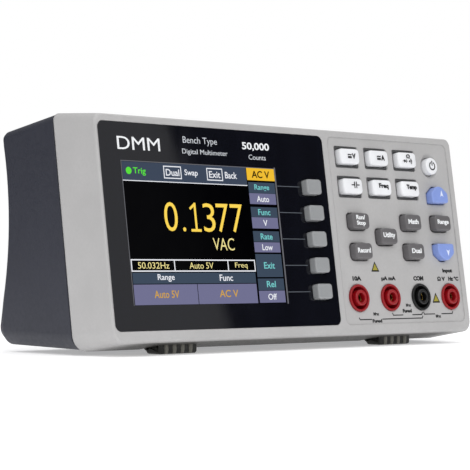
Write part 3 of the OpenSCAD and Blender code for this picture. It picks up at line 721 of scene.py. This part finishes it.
def build_display_picture():
    """Menu picture on the display: a column of cells, a reading, and two rows at the foot."""
    base, cell, text, over = GLASS_FACE, -0.075, -0.05, -0.025
    picture_black = lit_display("display_dark", shade(3, 3, 7), 0.3)
    frame_grey = lit_display("display_frame", shade(122, 122, 128), 0.6)
    slate = lit_display("display_slate", shade(66, 77, 96))
    teal = lit_display("display_teal_cell", shade(66, 80, 98))
    violet = lit_display("display_violet_cell", shade(118, 118, 152), 0.8)
    amber = lit_display("display_amber", shade(240, 190, 52), 0.9)
    gold = lit_display("display_gold", shade(244, 208, 84), 1.0)
    cream = lit_display("display_cream", shade(240, 226, 150), 0.9)
    white = lit_display("display_white", shade(236, 238, 244), 0.9)
    mint = lit_display("display_mint", shade(120, 205, 205), 0.85)
    green = lit_display("display_green", shade(90, 225, 60), 0.9)
    ochre = lit_display("display_ochre", shade(206, 160, 70), 0.9)
    ink = lit_display("display_ink", shade(40, 34, 16), 0.6)
    left, right, bottom, top = -87.45, -9.45, 13.9, 67.9
    settle([area(left, bottom, right, top, base, cell)], "display_picture", "meter", picture_black)
    settle([strip(left, bottom, left, top, 0.3, cell, text), strip(left, top, right, top - 0.2, 0.3, cell, text),
            strip(right, bottom, right, top, 0.7, cell, text)], "display_border", "meter", frame_grey)
    settle([area(left + 0.3, 60.6, -25.1, 67.6, cell, text)], "display_header", "meter", slate)
    settle([area(-24.8, 62.7, -9.9, 67.6, cell, text)], "display_tab", "meter", amber)
    settle([area(-24.5, 57.6, -10.2, 61.9, cell, text), area(-24.5, 48.0, -10.3, 52.0, cell, text),
            area(-24.6, 38.2, -10.6, 42.4, cell, text), area(-24.6, 24.2, -10.7, 33.3, cell, text),
            area(-24.6, 19.0, -10.7, 23.6, cell, text), area(left + 0.5, 21.9, -25.6, 26.0, cell, text)],
           "display_cells_upper", "meter", teal)
    settle([area(-24.5, 53.2, -10.3, 57.5, cell, text), area(-24.5, 43.5, -10.5, 47.9, cell, text),
            area(-24.6, 34.0, -10.7, 38.0, cell, text), area(-24.6, 14.1, -10.7, 18.8, cell, text),
            area(left + 0.5, 14.0, -56.2, 21.6, cell, text), area(-55.9, 14.0, -25.6, 21.6, cell, text)],
           "display_cells_lower", "meter", violet)
    frames = box_line(left + 0.5, 26.6, -66.3, 30.8, 0.45, cell, text)
    frames += box_line(-66.3, 26.6, -39.4, 30.8, 0.45, cell, text)
    frames += box_line(-39.4, 26.6, -25.4, 30.8, 0.45, cell, text)
    frames += box_line(-67.2, 62.0, -58.8, 66.5, 0.4, text, over)
    frames += box_line(-45.6, 62.0, -37.8, 66.5, 0.4, text, over)
    frames += [strip(left + 0.3, 60.5, -25.2, 60.5, 0.35, cell, text)]
    words = [("Dual", -63, 64.2, 6.6, 2.6), ("Swap", -53.7, 64.2, 6.6, 3.0), ("Exit", -41.7, 64.2, 5.8, 2.6),
             ("Back", -33.3, 64.2, 6.2, 2.6), ("Auto", -17.4, 55.3, 6.6, 2.4), ("V", -17.4, 45.7, 2.2, 2.4),
             ("Low", -17.6, 36.0, 5.6, 2.4), ("Off", -17.6, 16.4, 4.6, 2.4), ("Range", -71.0, 24.0, 8.2, 2.9),
             ("Func", -41.0, 24.0, 6.8, 2.5)]
    settle(frames + [centred(w, x, u, a, b, text, over, 0.012) for w, x, u, a, b in words],
           "display_white_text", "meter", white)
    words = [("Range", -17.4, 59.7, 8.0, 2.8), ("Func", -17.4, 50.0, 6.6, 2.4), ("Rate", -17.5, 40.3, 6.4, 2.4),
             ("Exit", -17.6, 28.8, 5.8, 2.6), ("Rel", -17.6, 21.4, 4.8, 2.5)]
    settle([centred(w, x, u, a, b, text, over, 0.014) for w, x, u, a, b in words], "display_mint_text", "meter",
           mint)
    # The reading: five tall narrow digits and the point
    digits = [("0", -69.1, -62.6), (".", -60.4, -58.9), ("3", -49.8, -43.8), ("7", -42.9, -36.6),
              ("7", -35.6, -29.2)]
    reading = [lettering(d, a, 41.7, b, 43.3 if d == "." else 52.8, text, over, -0.004) for d, a, b in digits]
    reading += [area(-54.1, 41.7, -53.1, 52.8, text, over), area(-56.3, 41.7, -51.2, 42.7, text, over),
                strip(-55.8, 50.7, -53.7, 52.3, 0.95, text, over)]
    settle(reading, "display_reading", "meter", gold)
    settle([lettering("VAC", -46.0, 34.6, -35.1, 39.4, text, over, -0.004)], "display_unit", "meter", cream)
    settle([centred("50.032Hz", -76.5, 28.7, 15.0, 2.4, text, over, 0.0),
            centred("Auto 5V", -53.0, 28.7, 12.0, 2.4, text, over, 0.0),
            centred("Freq", -32.6, 28.6, 6.4, 2.6, text, over, 0.0)], "display_cream_text", "meter", cream)
    settle([centred("Auto 5V", -71.4, 17.9, 12.0, 2.8, text, over, 0.01),
            centred("AC V", -40.4, 17.9, 9.6, 2.8, text, over, 0.01)], "display_ochre_text", "meter", ochre)
    settle([centred("AC V", -17.4, 65.1, 9.6, 2.9, text, over, 0.02)], "display_tab_text", "meter", ink)
    settle([turned([(0, text), (1.35, text), (1.35, over), (0, over)], -84.2, 64.2, 28),
            centred("Trig", -79.1, 64.0, 6.0, 3.0, text, over, 0.012)], "display_green_text", "meter", green)


def build_window_printing():
    low, high = GLASS_FACE, GLASS_FACE + 0.04
    settle([centred("DMM", -78.2, 74.6, 20.5, 4.9, low, high, 0.0),
            centred("50,000", -18.5, 76.2, 14.6, 3.4, low, high, 0.022)], "window_white_printing", "meter", WHITE_INK)
    settle([centred("Bench Type", -47.6, 76.9, 17.4, 3.3, low, high, -0.004),
            centred("Digital Multimeter", -45.5, 72.5, 23.2, 2.5, low, high, 0.0),
            centred("Counts", -18.2, 72.0, 9.2, 2.0, low, high, 0.0)], "window_pale_printing", "meter", PALE_INK)
    lines = []
    for i in range(5):
        up = SIDE_KEYS[f"soft_key_{i + 1}"][1]
        lines.append(strip(-8.7, up + 0.2, 3.4, up + 0.2, 0.32, low, high))
    settle(lines, "window_leader_lines", "meter", GREY_INK)


def build_face_printing():
    low, high = KEYPAD_FACE, KEYPAD_FACE + 0.05
    words = [("10A", 31.5, 23.5, 5.2, 1.9), ("µA mA", 50.6, 23.3, 8.8, 2.1), ("COM", 69.3, 23.4, 6.3, 2.0),
             ("Input", 88.6, 26.5, 6.4, 2.1), ("Ω V", 84.0, 23.2, 5.0, 1.9), ("Hz °C", 92.0, 23.2, 6.6, 1.9),
             ("Max", 61.2, 12.0, 3.2, 1.4), ("Fused", 60.0, 9.6, 5.6, 1.6), ("Max", 40.8, 8.6, 3.4, 1.4),
             ("Fused", 41.0, 4.9 + 0.8, 5.8, 1.5), ("Max", 79.5, 7.0, 3.4, 1.4)]
    signs = [centred(w, x, u, a, b, low, high, FACE_BOLD) for w, x, u, a, b in words]
    # Brackets that join the jacks of one range
    for left, right, up, rise, gap_left, gap_right in ((30.9, 68.9, 6.4, 0.7, 37.6, 44.4),
                                                       (51.2, 68.9, 7.9, 0.8, 57.0, 63.2),
                                                       (70.7, 88.6, 8.0, 0.8, 77.2, 81.8)):
        signs += [strip(left, up, gap_left, up, BRACKET_LINE, low, high),
                  strip(gap_right, up, right, up, BRACKET_LINE, low, high),
                  strip(left - 0.5, up + rise, left, up, BRACKET_LINE, low, high),
                  strip(right, up, right + 0.5, up + rise, BRACKET_LINE, low, high)]
    settle(signs, "face_black_printing", "meter", BLACK_INK)

    def triangle(across, foot, wide, tall, back, front, radius):
        return outline_block([(-wide / 2, 0), (wide / 2, 0), (0, tall)], across, foot, back, front, radius)

    middle = low + 0.025
    settle([triangle(43.1, 26.3, 4.9, 4.4, low, middle, 0.3), triangle(79.2, 12.8, 4.9, 4.4, low, middle, 0.3)],
           "face_triangle_borders", "meter", BLACK_INK)
    settle([triangle(43.1, 26.95, 3.2, 2.7, middle, high, 0.15),
            triangle(79.2, 13.45, 3.2, 2.7, middle, high, 0.15)],
           "face_triangles", "meter", YELLOW_INK)


# ---------------------------------------------------------------- studio

def build_studio():
    floor_bm = bmesh.new()
    bmesh.ops.create_circle(floor_bm, cap_ends=True, radius=6.0, segments=96)
    mesh = bpy.data.meshes.new("studio_floor")
    floor_bm.to_mesh(mesh)
    floor_bm.free()
    recipe = Recipe("studio_floor")
    tone = recipe.blend(recipe.spread(recipe.noise(60, 2), 0.3, 0.7), shade(246, 246, 246), shade(243, 243, 244))
    recipe.link(tone, recipe.surface.inputs["Base Color"])
    recipe.link(tone, recipe.surface.inputs["Emission Color"])
    recipe.surface.inputs["Emission Strength"].default_value = 0.4
    recipe.surface.inputs["Roughness"].default_value = 0.9
    recipe.surface.inputs["Specular IOR Level"].default_value = 0.1
    # The floor runs out into the white surroundings
    away = recipe.node("ShaderNodeVectorMath", operation="LENGTH")
    recipe.link(recipe.place, away.inputs[0])
    recipe.link(recipe.spread(away.outputs["Value"], 0.22, 0.6, 1, 0), recipe.surface.inputs["Alpha"])
    mesh.materials.append(recipe.material)
    floor = bpy.data.objects.new("studio_floor", mesh)
    bpy.context.scene.collection.objects.link(floor)

    world = bpy.data.worlds.new("studio")
    bpy.context.scene.world = world
    world.use_nodes = True
    tree = world.node_tree
    light = next(n for n in tree.nodes if n.type == "BACKGROUND")
    light.inputs["Color"].default_value = (1, 1, 1, 1)
    path = tree.nodes.new("ShaderNodeLightPath")
    where = tree.nodes.new("ShaderNodeTexCoord")
    split = tree.nodes.new("ShaderNodeSeparateXYZ")
    tree.links.new(where.outputs["Generated"], split.inputs["Vector"])
    sky = tree.nodes.new("ShaderNodeMapRange")
    for socket, value in zip(("From Min", "From Max", "To Min", "To Max"), (0.3, 0.95, 0.05, 0.9)):
        sky.inputs[socket].default_value = value
    tree.links.new(split.outputs["Z"], sky.inputs["Value"])

    def choose(factor, first, second):
        made = tree.nodes.new("ShaderNodeMix")
        tree.links.new(factor, made.inputs["Factor"])
        for socket, value in zip((made.inputs[2], made.inputs[3]), (first, second)):
            if isinstance(value, float):
                socket.default_value = value
            else:
                tree.links.new(value, socket)
        return made.outputs[0]

    surroundings = choose(path.outputs["Is Glossy Ray"], 0.62, sky.outputs["Result"])
    strength = choose(path.outputs["Is Camera Ray"], surroundings, 1.0)
    tree.links.new(strength, light.inputs["Strength"])

    def softbox(name, spot, aim, wide, tall, power, roll=0.0):
        data = bpy.data.lights.new(name, "AREA")
        data.shape = "RECTANGLE"
        data.size, data.size_y, data.energy = wide, tall, power
        lamp = bpy.data.objects.new(name, data)
        lamp.location = spot
        turn = (Vector(aim) - Vector(spot)).to_track_quat("-Z", "Y").to_matrix() @ Matrix.Rotation(roll, 3, "Z")
        lamp.rotation_euler = turn.to_euler()
        lamp.visible_camera = False
        bpy.context.scene.collection.objects.link(lamp)

    middle = Vector((0, 0, 0.05))
    softbox("front_light", (-0.55, -0.95, 0.75), middle, 0.7, 0.7, 5.0)
    softbox("side_light", (-1.1, 0.1, 0.6), middle, 0.6, 0.6, 1.6)
    softbox("top_light", (0.2, 0.1, 1.1), middle, 0.9, 0.9, 3.5)
    # Narrow panel whose reflection brightens the window's left part
    seen_from = EYE
    spot = FACE @ Vector((-115, 45, 0))
    ray = (spot - seen_from).normalized()
    mirrored = ray - 2 * ray.dot(INTO) * INTO
    softbox("window_panel", spot + mirrored * 0.6, spot, 0.175, 0.5, 0.165, math.radians(7))


EYE = FACE_FOOT + Vector((-483.14, -487.99, 27.08)) * MM


def build_camera():
    data = bpy.data.cameras.new("camera")
    data.lens = 132.1
    data.sensor_width = 36
    data.clip_start = 0.02
    data.clip_end = 50
    camera = bpy.data.objects.new("camera", data)
    right = Vector((0.74014, -0.67245, 0)).normalized()
    ahead = Vector((0.67232, 0.73999, 0.01970)).normalized()
    above = right.cross(ahead).normalized()
    right = ahead.cross(above)
    camera.matrix_world = Matrix.Translation(EYE) @ Matrix((right, above, -ahead)).transposed().to_4x4()
    bpy.context.scene.collection.objects.link(camera)
    bpy.context.scene.camera = camera


build_white_keys()
build_dark_keys()
build_blue_keys()
build_side_keys()
build_power_button()
build_key_legends()
build_jacks()
build_tilt_legs()
build_rear_feet()
build_display_picture()
build_window_printing()
build_face_printing()
build_studio()
build_camera()
bpy.context.scene.view_settings.view_transform = "Standard"

bpy.context.view_layer.update()
